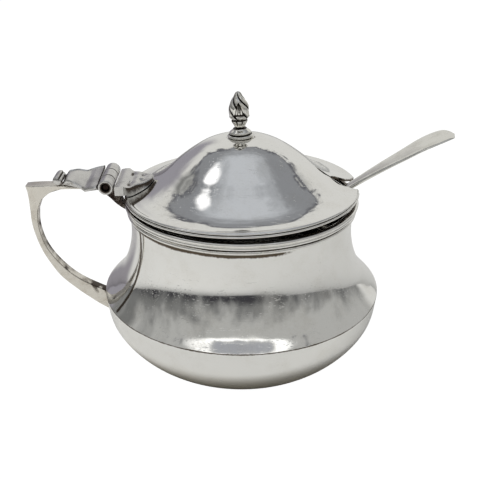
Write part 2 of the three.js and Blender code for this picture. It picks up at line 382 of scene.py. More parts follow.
scratchGroup = buildScratches(wearShape)
tarnishShadeGroup = buildTarnishShade(wearShape)
pitGroup = buildPits(wearShape)


def useGroup(tree, group, **values):
    node = put(tree, "ShaderNodeGroup", node_tree=group)
    for label, value in values.items():
        node.inputs[label].default_value = value
    return node


def silverMaterial(name, look):
    # metal whose tone and roughness go from clean to tarnished and to painted shade by the shared masks
    material = bpy.data.materials.new(name)
    material.use_nodes = True
    tree = material.node_tree
    tree.nodes.clear()
    shader = put(tree, "ShaderNodeBsdfPrincipled")
    output = put(tree, "ShaderNodeOutputMaterial")
    tree.links.new(shader.outputs[0], output.inputs["Surface"])
    shader.inputs["Metallic"].default_value = 1.0
    scratches = useGroup(tree, scratchGroup, Length=look["scratchLength"], Density=look["scratchDensity"])
    tarnishShade = useGroup(
        tree, tarnishShadeGroup, Crevice=look["tarnishShadeGain"], Speckle=look["speckle"],
        Cloud=look["cloud"], Grain=look["grain"],
    )
    pits = useGroup(tree, pitGroup, Pits=look["pits"], Peel=look["peel"])
    veiled = blendTone(tree, tarnishShade.outputs["Cloud"], look["clean"], look["veil"])
    feed(tree, shader.inputs["Base Color"], blendTone(tree, tarnishShade.outputs["Dark"], veiled, look["dark"]))
    worn = product(tree, scratches.outputs["Lines"], look["scratchRough"])
    hazy = product(tree, tarnishShade.outputs["Cloud"], look["cloudRough"])
    dull = product(tree, tarnishShade.outputs["Dark"], look["darkRough"])
    feed(tree, shader.inputs["Roughness"], total(tree, worn, hazy, dull, look["rough"]))
    cut = product(tree, scratches.outputs["Lines"], -look["scratchDepth"])
    bump = put(tree, "ShaderNodeBump")
    bump.inputs["Strength"].default_value = look["bump"]
    bump.inputs["Distance"].default_value = look["bumpDepth"]
    feed(tree, bump.inputs["Height"], total(tree, pits.outputs["Height"], cut))
    feed(tree, shader.inputs["Normal"], bump.outputs[0])
    return material


polishedLook = {
    "clean": (0.93, 0.925, 0.90, 1), "veil": (0.74, 0.71, 0.64, 1), "dark": (0.12, 0.095, 0.07, 1),
    "rough": 0.055, "cloudRough": 0.25, "darkRough": 0.25, "cloud": 0.28,
    "tarnishShadeGain": 0.9, "speckle": 0.8, "grain": 1.0,
    "scratchLength": 1.0, "scratchDensity": 0.6, "scratchRough": 0.32, "scratchDepth": 2.4,
    "pits": 0.25, "peel": 0.45, "bump": 0.35, "bumpDepth": 0.00002,
}
wireLook = dict(
    polishedLook, clean=(0.91, 0.90, 0.87, 1), rough=0.08, cloud=0.35, speckle=0.9, tarnishShadeGain=1.9, peel=0.6
)
castLook = dict(
    polishedLook, clean=(0.82, 0.785, 0.715, 1), veil=(0.60, 0.54, 0.455, 1), dark=(0.11, 0.09, 0.075, 1),
    rough=0.2, cloud=0.8, cloudRough=0.14, grain=1.7, tarnishShadeGain=1.05, speckle=0.35, pits=0.12, peel=0.7,
    bump=0.3,
)
leafLook = dict(castLook, clean=(0.72, 0.71, 0.69, 1), veil=(0.45, 0.44, 0.435, 1), grain=1.2, cloud=0.85)
finialLook = dict(
    castLook, clean=(0.93, 0.92, 0.87, 1), veil=(0.62, 0.57, 0.47, 1), dark=(0.05, 0.042, 0.035, 1),
    rough=0.1, cloud=0.6, tarnishShadeGain=1.35, speckle=0.3, grain=2.4,
)
spoonLook = dict(
    polishedLook, clean=(0.86, 0.85, 0.80, 1), veil=(0.66, 0.64, 0.58, 1), cloud=0.6, grain=1.8, rough=0.11,
)
darkLook = dict(
    castLook, clean=(0.40, 0.36, 0.31, 1), veil=(0.22, 0.12, 0.07, 1), dark=(0.045, 0.03, 0.025, 1),
    rough=0.34, cloud=0.95, tarnishShadeGain=1.2, speckle=1.0,
)
polishedSilver = silverMaterial("polishedSilver", polishedLook)
wireSilver = silverMaterial("wireSilver", wireLook)
castSilver = silverMaterial("castSilver", castLook)
leafSilver = silverMaterial("leafSilver", leafLook)
finialSilver = silverMaterial("finialSilver", finialLook)
spoonSilver = silverMaterial("spoonSilver", spoonLook)
darkSilver = silverMaterial("darkSilver", darkLook)
print("materials ready")


bowlShape = {
    "gauge": 0.8, "turns": 288,
    "outline": [(24.9, 0), (30.1, 2.5), (36.1, 7.6), (40.6, 14.4), (42.0, 22.1)],
    "innerBottom": 1.6, "footLine": [(23.6, 0.0), (24.9, 0.05)],
    "floorUnder": [(0, 0.5), (14, 0.5), (21, 0.12), (23.6, 0.0)],  # dished a little at the middle
    "floorOver": [(22, 0.15), (14, 0.5), (0, 0.5)],  # heights above the gauge
    "girdleRound": 0.1, "unevenness": 0.016, "grain": 17, "seed": 3,
    "girdleDark": (0.22, 1.0), "footDark": (0.7, 0.35),  # width and strength
}
wallShape = {
    "gauge": 0.8, "turns": 288,
    "outline": [
        (42.0, 22.15), (38.9, 25.4), (36.5, 28.6), (34.9, 32.0), (33.7, 36.0), (33.05, 40.0),
        (32.9, 43.5), (33.05, 47.0), (33.1, 50.3),
    ],
    "edgeRound": 0.12, "unevenness": 0.022, "grain": 13, "seed": 8, "girdleWidth": 0.2,
    "seamAngle": -150.0, "seamWidth": 0.75, "seamDepth": 0.08, "seamSpread": 0.03, "seamDark": 1.3,
    "seamBow": 1.0, "bowFrom": 30, "bowLength": 24,  # degrees, height and length of its slow bend
    "stainHeight": 46.7, "stainWidth": 0.8, "stainDark": 1.15, "stainFrom": (6, 30),
    "insideFrom": (30, 40), "insideShade": 0.3, "notchSpan": (0.8, 0.4), "notchShade": 0.65,
}


def lowerBowl(shape):
    # outline up to the girdle, back down inside by the gauge, and in to the axis at both ends
    outline = np.array(shape["outline"]) * [bellyRadius / shape["outline"][-1][0], 1]
    outer = smoothLine(outline, 70)
    inner = shifted(outer, -shape["gauge"])[::-1]
    inner = inner[inner[:, 1] > shape["innerBottom"]]
    floorOver = smoothLine([inner[-1], *(np.array(shape["floorOver"]) + [0, shape["gauge"]])], 20)
    floorUnder = smoothLine(shape["floorUnder"], 20)
    foot = smoothLine([*shape["footLine"], outer[2]], 8)
    down, along = np.array([0, shape["girdleRound"]]), np.array([shape["girdleRound"], 0])
    top = np.array([outer[-1] - down, outer[-1] - along, inner[0] + along, inner[0] - down])
    profile = joined(floorUnder, foot, outer[2:-1], top, inner[1:], floorOver)
    grid = turned(profile, roundAngles(shape["turns"]))
    height = grid[..., 2]
    calm = ease(girdleHeight - height, 0.2, 3) * ease(height, 0.5, 4)
    grid = sideways(grid, calm * handWork(grid, shape["unevenness"], shape["grain"], shape["seed"]))
    girdleWidth, girdleDark = shape["girdleDark"]
    footWidth, footDark = shape["footDark"]
    crease = girdleDark * hump(height, girdleHeight, girdleWidth)
    crease = crease + footDark * hump(height, 0.2, footWidth)
    return [sheet(grid, crease, wrapRows=False)]


def bodyWall(shape):
    # waisted wall, closed in both directions, with the filed-down line of its upright seam; the
    # steps round it are closer beside the seam, and its inside carries painted shade, darkest under the notch
    outer = smoothLine(shape["outline"], 110)
    inner = shifted(outer, -shape["gauge"])[::-1]
    inner[0] = (outer[-1][0] - shape["gauge"], outer[-1][1])
    inner[-1] = (outer[0][0] - shape["gauge"], outer[0][1])
    loop = np.concatenate([outer, inner])
    radii = np.zeros(len(loop))
    radii[[0, len(outer) - 1, len(outer), len(loop) - 1]] = shape["edgeRound"]
    profile = roundedLoop(loop, radii)
    seam = radians(shape["seamAngle"])
    near = seam + np.linspace(-1, 1, 17) ** 3 * shape["seamSpread"]
    others = np.linspace(near[-1], near[0] + fullTurn, shape["turns"])[1:-1]
    angles = np.concatenate([near, others])[None, :]
    grid = turned(profile, angles)
    height = grid[..., 2]
    calm = ease(height, girdleHeight + 0.3, girdleHeight + 3) * ease(height, wallTop - 0.2, wallTop - 3)
    grid = sideways(grid, calm * handWork(grid, shape["unevenness"], shape["grain"], shape["seed"]))
    bow = radians(shape["seamBow"]) * np.sin((height - shape["bowFrom"]) / shape["bowLength"])
    across = (np.mod(angles - seam - bow + np.pi, fullTurn) - np.pi) * shape["outline"][0][0]
    line = hump(across, 0, shape["seamWidth"]) * ease(height, girdleHeight, girdleHeight + 1)
    grid = sideways(grid, -shape["seamDepth"] * line)
    stain = shape["stainDark"] * hump(height, shape["stainHeight"], shape["stainWidth"])
    stain = stain * ease(-grid[..., 0] - grid[..., 1], *shape["stainFrom"])
    girdle = hump(height, girdleHeight, shape["girdleWidth"])
    crease = np.maximum(girdle, np.maximum(line * shape["seamDark"], stain))
    # painted shade over the inside of the wall, deepest under the notch
    inside = (np.arange(len(profile)) > len(profile) / 2)[:, None] * ease(height, *shape["insideFrom"])
    underNotch = ease(np.abs(np.mod(angles + np.pi, fullTurn) - np.pi), *shape["notchSpan"])
    dark = inside * (shape["insideShade"] + shape["notchShade"] * underNotch)
    return [sheet(grid, np.maximum(crease, dark))]


makePiece("bowl_bottom", lowerBowl(bowlShape), "pot", ["lower_bowl"], polishedSilver)
makePiece("waisted_wall", bodyWall(wallShape), "pot", ["body_wall"], polishedSilver)
print("bowl and wall ready")

mouldingShape = {
    "turns": 288, "rows": 90, "back": 33.18, "unevenness": 0.018, "grain": 9, "seed": 5,
    "valleyPower": 1.6, "patch": (0.75, 0.35, 0.2),  # mean tarnish and its two swings round the ring
    "upperBeads": [(33.75, 49.15, 0.5), (33.98, 50.22, 0.6)], "upperSpan": (48.3, 50.82), "upperSkin": 0.1,
    "lowerBeads": [(33.45, 47.75, 0.52)], "lowerSpan": (47.25, 48.27), "lowerSkin": 0.04,
}


def beadedRing(beads, span, skin, shape):
    # at each height the radius is the furthest of the half-round beads and a thin skin, so that
    # the beads meet in sharp valleys
    heights = np.linspace(span[0] + 0.01, span[1] - 0.01, shape["rows"])
    radius = np.full_like(heights, shape["back"] + skin)
    for centre, middle, size in beads:
        reach = np.sqrt(np.maximum(size**2 - (heights - middle) ** 2, 0))
        radius = np.maximum(radius, np.where(reach > 0, centre + reach, 0))
    crest = max(centre + size for centre, _, size in beads)
    front = np.stack([radius, heights], -1)
    back = np.array([(shape["back"], span[1]), (shape["back"], span[0])])
    profile = np.concatenate([front, back])
    angle = roundAngles(shape["turns"])
    grid = turned(profile, angle)
    uneven = handWork(grid, shape["unevenness"], shape["grain"], shape["seed"])
    grid = sideways(grid, uneven * (profile[:, :1] > shape["back"] + 0.01))
    depth = np.clip((crest - profile[:, :1]) / (crest - shape["back"]), 0, 1) ** shape["valleyPower"]
    mean, slowSwing, quickSwing = shape["patch"]
    patch = mean + slowSwing * np.sin(angle * 2 + 2.4) + quickSwing * np.sin(angle * 7 + 1)
    return [sheet(grid, np.clip(depth * patch, 0, 1))]


for name, which, node in (("mouth_moulding", "upper", "mouth_wire"), ("neck_bead", "lower", "neck_wire")):
    beads, span, skin = (mouldingShape[which + part] for part in ("Beads", "Span", "Skin"))
    ring = beadedRing(beads, span, skin, mouldingShape)
    makePiece(name, ring, "pot", [node], wireSilver, 50)
print("mouldings ready")


handleShape = {
    "halfWidth": 1.7, "edge": 0.42, "counts": (90, 26, 40, 26),  # stations of the four stretches
    "flare": 0.3, "flareFrom": (0.74, 0.82), "plateStarts": (108, 122), "plateEnds": (158, 146),
    "thinning": 0.06, "unevenness": 0.035, "grain": 7, "seed": 12,
    "dentGrain": 5, "dentSeed": 21, "dentFrom": (0.9, 1.7), "dentDark": 0.75,
    "rootSolder": (7, 0), "armSolder": (160, 176), "solderDark": 0.7, "innerShade": 0.46, "farClean": 0.1,
    "outer": [
        (-39.45, 11.4), (-45.8, 15.5), (-51.1, 19.8), (-56.2, 24.8), (-59.6, 30.4), (-61.8, 36.0),
        (-62.9, 41.5), (-63.05, 47.0),
    ],
    "inner": [
        (-42.15, 19.2), (-44.4, 20.3), (-49.2, 22.9), (-53.4, 26.2), (-57.3, 30.8), (-60.0, 36.0),
        (-61.0, 41.5), (-60.7, 46.5),
    ],
    "earOuter": [(-63.05, 47.0), (-63.15, 51.5), (-63.58, 54.28)],
    "earInner": [(-60.7, 46.5), (-59.3, 49.7), (-58.0, 51.05)],
    "plateOuter": [(-63.58, 54.28), (-58.0, 54.5), (-52.6, 54.5)],
    "plateInner": [(-58.0, 51.05), (-56.6, 52.0), (-53.2, 53.1)],
    "armOuter": [(-52.6, 54.5), (-50.4, 54.0), (-42.7, 54.0)],
    "armInner": [(-53.2, 53.1), (-49.5, 53.2), (-42.7, 53.2)],
}
bracketShape = {
    "halfWidth": 1.7, "edge": 0.2, "unevenness": 0.03, "grain": 3, "seed": 33, "dark": 0.55,
    "under": [(-42.25, 53.12), (-39.9, 51.5), (-37.8, 49.4), (-35.6, 47.5), (-33.5, 46.4)],
    "over": [(-42.25, 53.58), (-37.6, 53.58), (-36.1, 51.6), (-34.85, 48.2), (-33.4, 47.2)],
}


def barBetween(first, second, halfWidth, edge, perCorner=7):
    # a bar whose section at each station reaches from a point of one line to the same point of
    # the other: a rectangle with rounded corners, halfWidth to each side
    quarter = np.linspace(0, np.pi / 2, perCorner)
    turn = np.concatenate([quarter + corner * np.pi / 2 for corner in range(4)])
    middle = np.repeat(np.arange(4) * np.pi / 2 + np.pi / 4, perCorner)
    signAlong, signAcross = np.sign(np.cos(middle)), np.sign(np.sin(middle))
    centre = (first + second) / 2
    reach = first - second
    half = np.linalg.norm(reach, axis=1, keepdims=True) / 2
    along = reach / (2 * half)
    radius = np.minimum(edge, 0.8 * np.minimum(half, halfWidth))
    u = signAlong * (half - radius) + radius * np.cos(turn)
    y = signAcross * (halfWidth - radius) + radius * np.sin(turn)
    x = centre[:, :1] + along[:, :1] * u
    z = centre[:, 1:] + along[:, 1:] * u
    return np.stack([x, y + 0 * x, z], -1), u / half, signAcross * np.abs(np.sin(turn)) ** 3


def strapHandle(shape):
    # four stretches of the bar laid end to end: the loop, the ear, its flat plate and the arm
    outerNames = ("outer", "earOuter", "plateOuter", "armOuter")
    innerNames = ("inner", "earInner", "plateInner", "armInner")
    first = joined(*(smoothLine(shape[name], count) for name, count in zip(outerNames, shape["counts"])))
    second = joined(*(smoothLine(shape[name], count) for name, count in zip(innerNames, shape["counts"])))
    grid, along, across = barBetween(first, second, shape["halfWidth"], shape["edge"])
    station = np.arange(len(grid))[:, None]
    inPlate = ease(station, *shape["plateStarts"]) * ease(station, *shape["plateEnds"])
    grid[..., 1] *= 1 + shape["flare"] * inPlate * ease(along, *shape["flareFrom"])
    grid[..., 1] *= 1 - shape["thinning"] * ease(-along, 0.2, 1.0)
    grid += handWork(grid, shape["unevenness"], shape["grain"], shape["seed"])[..., None] * [0.7, 1, 0.5]
    dents = ease(handWork(grid, 1, shape["dentGrain"], shape["dentSeed"]), *shape["dentFrom"])
    solder = ease(station, *shape["rootSolder"]) + ease(station, *shape["armSolder"])
    tarnishAndShade = shape["dentDark"] * dents + shape["solderDark"] * solder
    # painted shade on the inner face of the loop; less darkening on the side towards -y
    tarnishAndShade = tarnishAndShade + shape["innerShade"] * (along < -0.9) - shape["farClean"] * (across < 0)
    return [capped(grid, tarnishAndShade)]


def strut(shape):
    first, second = smoothLine(shape["over"], 50), smoothLine(shape["under"], 50)
    grid = barBetween(first, second, shape["halfWidth"], shape["edge"])[0]
    grid += handWork(grid, shape["unevenness"], shape["grain"], shape["seed"])[..., None]
    return [sheet(closedEnds(grid), shape["dark"], wrapRows=False)]


makePiece("strap_handle", strapHandle(handleShape), "pot", ["handle"], castSilver, 45)
makePiece("hinge_strut", strut(bracketShape), "pot", ["hinge_bracket"], darkSilver, 45)
print("handle ready")


knuckleShape = {
    "radius": 2.15, "bore": 1.25, "edge": 0.28, "turns": 96, "unevenness": 0.012, "grain": 4, "seed": 40,
    "seamDark": (0.16, 0.9), "pin": 0.9, "pinHead": 0.3, "pinDark": 0.6,
}
leafShape = {
    "right": -41.35, "left": -52.3, "under": 54.3, "rows": 150, "columns": 72,
    "crest": [(-41.35, 57.2), (-43.4, 56.9), (-45.4, 56.6), (-47.4, 56.9), (-49.6, 57.3), (-51.3, 57.2),
              (-52.3, 56.6)],
    "nearEdge": [(-41.35, 56.1), (-43.5, 55.5), (-45.6, 54.95), (-47.4, 55.6), (-48.6, 56.2),
                 (-50.2, 56.5), (-51.4, 56.2), (-52.3, 55.8)],
    "plan": [(-41.35, 7.9), (-42.6, 7.85), (-45.0, 6.9), (-46.2, 5.4), (-48.4, 5.0), (-50.2, 3.8),
             (-52.3, 3.15)],
    "rollCentre": (-53.6, 56.25), "rollRadius": (1.6, 1.5), "rollHalf": 3.5, "rollStep": 62.0,
    "rollGroove": 0.16, "rollShrink": 0.2, "rollDark": (0.25, 15.0, 0.5), "topLimit": 58.15,
    "beads": [(0.42, -0.93, 0.06), (0.3, 0.95, 0.05)], "flute": 0.05, "thinnest": 0.35,
    "valley": [(0.3, -45.4, 1.6)], "valleyAcross": [(1, -0.1, 0.6)], "neck": [(0.7, -52.1, 0.6)],
    "grooves": [(0.8, -41.35, 0.3), (1, -52.1, 0.6)], "valleyDark": [(0.42, -45.6, 1.0)],
    "beadDark": [(0.45, -0.82, 0.07)], "underShade": 0.25,
}
lidLeafShape = {
    "left": -36.4, "tip": -25.95, "rows": 150, "columns": 72, "air": 0.22, "wingHeight": 53.6,
    "leafFrom": (-34.0, -32.8), "fall": 0.5, "veins": (0.06, 7.0), "lip": (0.12, 0.3),
    "dimples": [(0.6, -32.7, 0.75, 4.3, 2.2), (0.4, -29.4, 0.8, 2.0, 1.1)],
    "dimpleDark": 1.25, "edgeShade": 0.8, "underShade": 0.38,
    "top": [(-36.4, 56.1), (-34.8, 56.35), (-33.4, 56.3), (-32.0, 56.1), (-30.4, 56.3), (-28.4, 56.3),
            (-27, 56.5), (-25.95, 56.6)],
    "plan": [(-36.4, 7.9), (-33.9, 7.9), (-33.1, 7.5), (-31.7, 6.9), (-30.4, 5.9), (-29.0, 4.9),
             (-27.6, 3.7), (-26.5, 2.2), (-25.95, 0.8)],
}


def acrossHinge(profile, angle):
    # a profile of (radius, place across) carried round the hinge axis
    r, y = profile[:, :1], profile[:, 1:]
    return np.stack([hingeX + r * np.cos(angle), y + 0 * angle, hingeZ + r * np.sin(angle)], -1)


def knuckle(start, end, shape, seams):
    # a rounded rectangle carried round the hinge axis, dark in its bore and beside the joints
    bore, radius, edge = shape["bore"], shape["radius"], shape["edge"]
    loop = [(bore, start), (radius, start), (radius, end), (bore, end)]
    profile = roundedLoop(loop, [edge * 0.5, edge, edge, edge * 0.5], 6)
    grid = acrossHinge(profile, roundAngles(shape["turns"]))
    ends = np.min([np.abs(grid[..., 1] - seam) for seam in seams], 0)
    seamWidth, seamDark = shape["seamDark"]
    inBore = ease(radius - profile[:, :1], 0.15, radius - bore)
    tarnishAndShade = np.maximum(inBore, seamDark * hump(ends, 0, seamWidth))
    grid += handWork(grid, shape["unevenness"], shape["grain"], shape["seed"])[..., None]
    return [sheet(grid, tarnishAndShade)]


def hingePin(start, end, shape):
    # a rod with domed ends
    half = np.linspace(0, np.pi / 2, 8)
    radius = shape["pin"] * np.sin(half)
    rise = shape["pinHead"] * (1 - np.cos(half))
    first, last = np.stack([radius, start + rise], -1), np.stack([radius, end - rise], -1)
    grid = acrossHinge(np.concatenate([first, last[::-1]]), roundAngles(shape["turns"]))
    return [sheet(grid, shape["pinDark"], wrapRows=False)]


def fixedLeaf(shape):
    # a plate between a flat underside and a waved top that falls towards its near edge, with a
    # thin curled bead along that edge, and a spiral roll across its narrow end
    x = np.linspace(shape["right"], shape["left"], shape["rows"])
    crest = smoothLine(shape["crest"], 200)[::-1]
    near = smoothLine(shape["nearEdge"], 200)[::-1]
    plan = smoothLine(shape["plan"], 200)[::-1]
    crestZ, nearZ, half = (np.interp(x, line[:, 0], line[:, 1])[:, None] for line in (crest, near, plan))
    across = np.sin(np.linspace(-np.pi / 2, np.pi / 2, shape["columns"]))[None, :]
    rise = 1 - ((1 - across) / 2) ** 2.0
    top = nearZ + (crestZ - nearZ) * rise
    place = x[:, None]
    flute = shape["flute"] * np.sin((place + 41) * 1.55 + across * 1.3) * (1 - across**2) ** 0.5
    dips = humps(place, shape["valley"]) * humps(across, shape["valleyAcross"]) + humps(place, shape["neck"])
    top = top + flute + humps(across, shape["beads"]) - dips
    under = shape["under"] + 0.5 * ease(-place, 50.2, 52.3) + 0 * top
    under = under + (np.maximum(nearZ - 0.55, under) - under) * np.abs(across) ** 4
    top = np.minimum(np.maximum(top, under + shape["thinnest"]), shape["topLimit"])
    y = half * across
    upper = np.stack([place + 0 * y, y, top], -1)
    lower = np.stack([place + 0 * y, y * 0.97, under], -1)[:, ::-1]
    grid = np.concatenate([upper, lower], 1)
    dark = humps(place, shape["grooves"]) + humps(place, shape["valleyDark"]) * rise
    dark = dark + humps(across, shape["beadDark"])
    # painted shade over the whole underside of the leaf
    dark = np.concatenate([dark + 0 * y, shape["underShade"] + 0 * y], 1)
    return [capped(grid, dark), rolledEnd(shape)]


def rolledEnd(shape):
    # a spiral whose radius shrinks over one turn, which leaves a step, with rounded ends
    along = np.linspace(-1, 1, 60)[:, None]
    turn = np.linspace(0, fullTurn, 90, endpoint=False)[None, :]
    fromStep = turn - radians(shape["rollStep"])
    shrink = 1 - shape["rollShrink"] * ease(np.mod(fromStep, fullTurn), 0.0, 5.2)
    groove = shape["rollGroove"] * hump(np.mod(fromStep + np.pi, fullTurn) - np.pi, 0.0, 0.2)
    size = (shrink - groove) * np.sqrt(np.maximum(1 - np.abs(along) ** 12, 0))
    x = shape["rollCentre"][0] + shape["rollRadius"][0] * size * np.cos(turn)
    z = shape["rollCentre"][1] + shape["rollRadius"][1] * size * np.sin(turn)
    y = shape["rollHalf"] * along + 0 * turn
    grid = np.stack([x, y, z], -1)
    topDark, topAngle, topWidth = shape["rollDark"]
    return capped(grid, 6 * groove + topDark * hump(turn, radians(topAngle), topWidth))


nearSide, farSide, lidSides, pinSides = (
    boxOf(node)[:, 1] for node in ("knuckle_near", "knuckle_far", "knuckle_lid", "hinge_pin")
)
makePiece("knuckle_front", knuckle(*nearSide, knuckleShape, nearSide[1:]), "pot", ["knuckle_near"],
          leafSilver)
makePiece("knuckle_back", knuckle(*farSide, knuckleShape, farSide[:1]), "pot", ["knuckle_far"],
          leafSilver)
makePiece("knuckle_of_lid", knuckle(*lidSides, knuckleShape, lidSides), "lid", ["knuckle_lid"],
          leafSilver)
makePiece("riveted_pin", hingePin(*pinSides, knuckleShape), "pot", ["hinge_pin"],
          darkSilver)
makePiece("handle_leaf", fixedLeaf(leafShape), "pot", ["fixed_leaf"], leafSilver, 50)
print("hinge ready")


lidShape = {
    "gauge": 0.8, "ajar": 1.3, "columns": 300, "edge": 34.2, "brim": 52.95,
    "outline": [(1.2, 68.0), (3.6, 67.97), (7, 67.6), (11, 66.2), (15, 63.75), (19, 60.75), (21, 59.0),
                (23, 57.3), (25, 55.85), (28, 54.15), (31, 53.15), (32.9, 52.86), (34.2, 52.95)],
    "roll": 0.6,
    "notch": [(21.6, 0), (22.6, 0.6), (24.0, 0.85), (25.2, 0.55), (25.9, 0.5), (26.4, 1.1), (27.0, 2.1),
              (27.8, 2.9), (28.8, 3.3), (30.0, 3.2), (31.0, 3.2), (31.8, 3.7), (32.8, 4.3), (33.6, 4.9),
              (34.1, 6.5), (36.5, 8.5)],
    "unevenness": 0.03, "grain": 11, "seed": 51,
    "footDark": (4.0, 0.5, 0.5), "brimShade": (0.75, 0.12, 0.5),  # place, width and strength
    "lipDark": (0.35, 0.55), "insideShade": 0.25, "notchShade": (6.0, 0.65), "rimShade": (0.9, 0.95),
    "rimCentre": (34.17, 51.72), "rimSize": 0.37, "rimBack": 33.2,
}


def ajar(grid):
    # turns the lid's pieces about the hinge axis by the small angle that the lid rests at
    lean = radians(lidShape["ajar"])
    x, z = grid[..., 0] - hingeX, grid[..., 2] - hingeZ
    turnedX = hingeX + x * np.cos(lean) - z * np.sin(lean)
    turnedZ = hingeZ + x * np.sin(lean) + z * np.cos(lean)
    return np.stack([turnedX, grid[..., 1], turnedZ], -1)


def notchAngle(radius, shape):
    # half the angle that the notch takes out of a ring of the given radius
    outline = np.array(shape["notch"], float)
    reach = np.hypot(outline[:, 0], outline[:, 1])
    return np.interp(radius, reach, np.arctan2(outline[:, 1], outline[:, 0]), left=0)


def notchedTurn(profile, start, shape):
    # a profile carried from one lip of the notch, at its start angles, round to the other
    return turned(profile, start + (fullTurn - 2 * start) * np.linspace(0, 1, shape["columns"])[None, :])


def lidDome(shape):
    # outer line from the bore to the brim and back inside; where the notch is open, each lip is
    # closed by a strip between the outer and the inner line
    outer = smoothLine(shape["outline"], 150)
    outer = outer[outer[:, 0] < shape["edge"] - shape["roll"]]
    inner = shifted(outer, shape["gauge"])
    inner[:, 0] = outer[:, 0]
    inner[:, 1] = np.minimum(inner[:, 1], outer[:, 1] - shape["gauge"])
    turn = np.linspace(0, np.pi / 2, 9)[:, None]
    middle = np.array([shape["edge"] - shape["roll"], shape["brim"] - shape["gauge"] / 2])
    size = np.array([shape["roll"] + 0.2, shape["gauge"] / 2])
    upper = np.concatenate([outer, middle + size * np.concatenate([np.sin(turn), np.cos(turn)], 1)])
    lower = np.concatenate([inner, middle + size * np.concatenate([np.sin(turn), -np.cos(turn)], 1)])
    lower[-1] = lower[-1] - [0, 0.01]
    profile = np.concatenate([upper, lower[::-1]])
    opening = notchAngle(profile[:, 0], shape)
    grid = notchedTurn(profile, opening[:, None], shape)
    rows, columns = grid.shape[:2]
    flat = ease(profile[:, :1], 4, 8) * ease(profile[:, :1], shape["edge"] - 0.2, shape["edge"] - 2.5)
    grid[..., 2] += flat * handWork(grid, shape["unevenness"], shape["grain"], shape["seed"])
    i = np.arange(len(upper) - 1)
    i = i[opening[i + 1] > 0]
    last = columns - 1
    facing, facingNext = rows - 1 - i, rows - 2 - i
    lipFaces = [
        np.stack([(i + 1) * columns, i * columns, facing * columns, facingNext * columns], -1),
        np.stack([i * columns, (i + 1) * columns, facingNext * columns, facing * columns], -1) + last,
    ]
    fromLip = np.minimum(np.linspace(0, 1, columns), np.linspace(1, 0, columns))[None, :]
    fromLip = fromLip * fullTurn * profile[:, :1]
    footAt, footWidth, footDark = shape["footDark"]
    brimAt, brimWidth, brimShade = shape["brimShade"]
    lipWidth, lipDark = shape["lipDark"]
    notchWidth, notchShade = shape["notchShade"]
    tarnishAndShade = footDark * hump(profile[:, :1], footAt, footWidth)
    tarnishAndShade = tarnishAndShade + lipDark * (opening[:, None] > 0) * hump(fromLip, 0, lipWidth)
    # painted shade along the underside of the rolled brim
    tarnishAndShade = tarnishAndShade + brimShade * hump(profile[:, 1:], shape["brim"] - brimAt, brimWidth)
    # painted shade over the lid's inside, darker beside the notch
    inside = (np.arange(len(profile)) >= len(upper))[:, None]
    insideShade = shape["insideShade"] + notchShade * hump(fromLip, 0, notchWidth)
    tarnishAndShade = np.where(inside, np.maximum(tarnishAndShade, insideShade), tarnishAndShade)
    return [sheet(ajar(grid), tarnishAndShade, True, False, np.concatenate(lipFaces))]


def lidRim(shape):
    # a half-round wire under the brim, cut away across the mouth of the notch, with painted shade behind it
    # and on its underside
    centre, middle = shape["rimCentre"]
    turn = np.linspace(-0.55 * np.pi, 0.55 * np.pi, 26)
    bead = np.stack([centre + shape["rimSize"] * np.cos(turn), middle + shape["rimSize"] * np.sin(turn)], -1)
    back = np.array([(shape["rimBack"], bead[-1][1]), (shape["rimBack"], bead[0][1])])
    profile = np.concatenate([bead, back])
    start = notchAngle(np.full(len(profile), shape["edge"]), shape)[:, None]
    grid = np.swapaxes(ajar(notchedTurn(profile, start, shape)), 0, 1)
    # painted shade on the back of the wire and on its lower half
    behindShade, belowShade = shape["rimShade"]
    behind = behindShade * ease(centre + 0.25 - profile[:, 0], 0, 0.35)
    below = belowShade * ease(middle - profile[:, 1], 0.05, 0.25)
    dark = np.maximum(behind, below)
    return [capped(grid, dark[None, :])]


def lidLeaf(shape, lid):
    # a lobed leaf: its underside follows the dome just above it, its top is dimpled between
    # raised veins, and its sides fall over a rounded edge
    x = np.linspace(shape["left"], shape["tip"], shape["rows"])
    top = smoothLine(shape["top"], 200)
    plan = smoothLine(shape["plan"], 200)
    dome = smoothLine(lid["outline"], 200)
    across = np.sin(np.linspace(-np.pi / 2, np.pi / 2, shape["columns"]))[None, :]
    place = x[:, None]
    half = np.interp(x, plan[:, 0], plan[:, 1])[:, None]
    y = half * across
    radius = np.hypot(place, y)
    bed = np.interp(radius, dome[:, 0], dome[:, 1]) + shape["air"]
    bed = np.where(radius > lid["edge"] - 0.4, shape["wingHeight"], bed)
    crown = np.interp(x, top[:, 0], top[:, 1])[:, None] + 0 * y
    leafy = ease(place, *shape["leafFrom"])
    veinHeight, veinCount = shape["veins"]
    lip, crownLip = shape["lip"]
    dimples = sum(
        depth * hump(place, at, length) * (hump(y, -aside, width) + hump(y, aside, width))
        for depth, at, length, aside, width in shape["dimples"]
    )
    fall = leafy * (shape["fall"] * np.abs(across) ** 4)
    upper = crown - fall + leafy * (veinHeight * np.cos(across * veinCount) - dimples)
    upper = np.maximum(upper, bed + crownLip * (1 - across**10) + lip)
    dark = leafy * dimples * shape["dimpleDark"]
    # painted shade along both falling edges of the leaf
    dark = dark + leafy * shape["edgeShade"] * hump(np.abs(across), 1.0, 0.05)
    above, below = np.stack([place + 0 * y, y, upper], -1), np.stack([place + 0 * y, y, bed], -1)
    # painted shade over the whole underside of the leaf
    dark = np.concatenate([dark, shape["underShade"] + 0 * y], 1)
    return [capped(ajar(np.concatenate([above, below[:, ::-1]], 1)), dark)]


makePiece("domed_lid", lidDome(lidShape), "lid", ["lid_dome"], polishedSilver, 35)
makePiece("lid_rim", lidRim(lidShape), "lid", ["lid_rim_wire"], wireSilver, 50)
makePiece("lobed_leaf", lidLeaf(lidLeafShape, lidShape), "lid", ["lid_leaf"], leafSilver, 50)
print("lid ready")


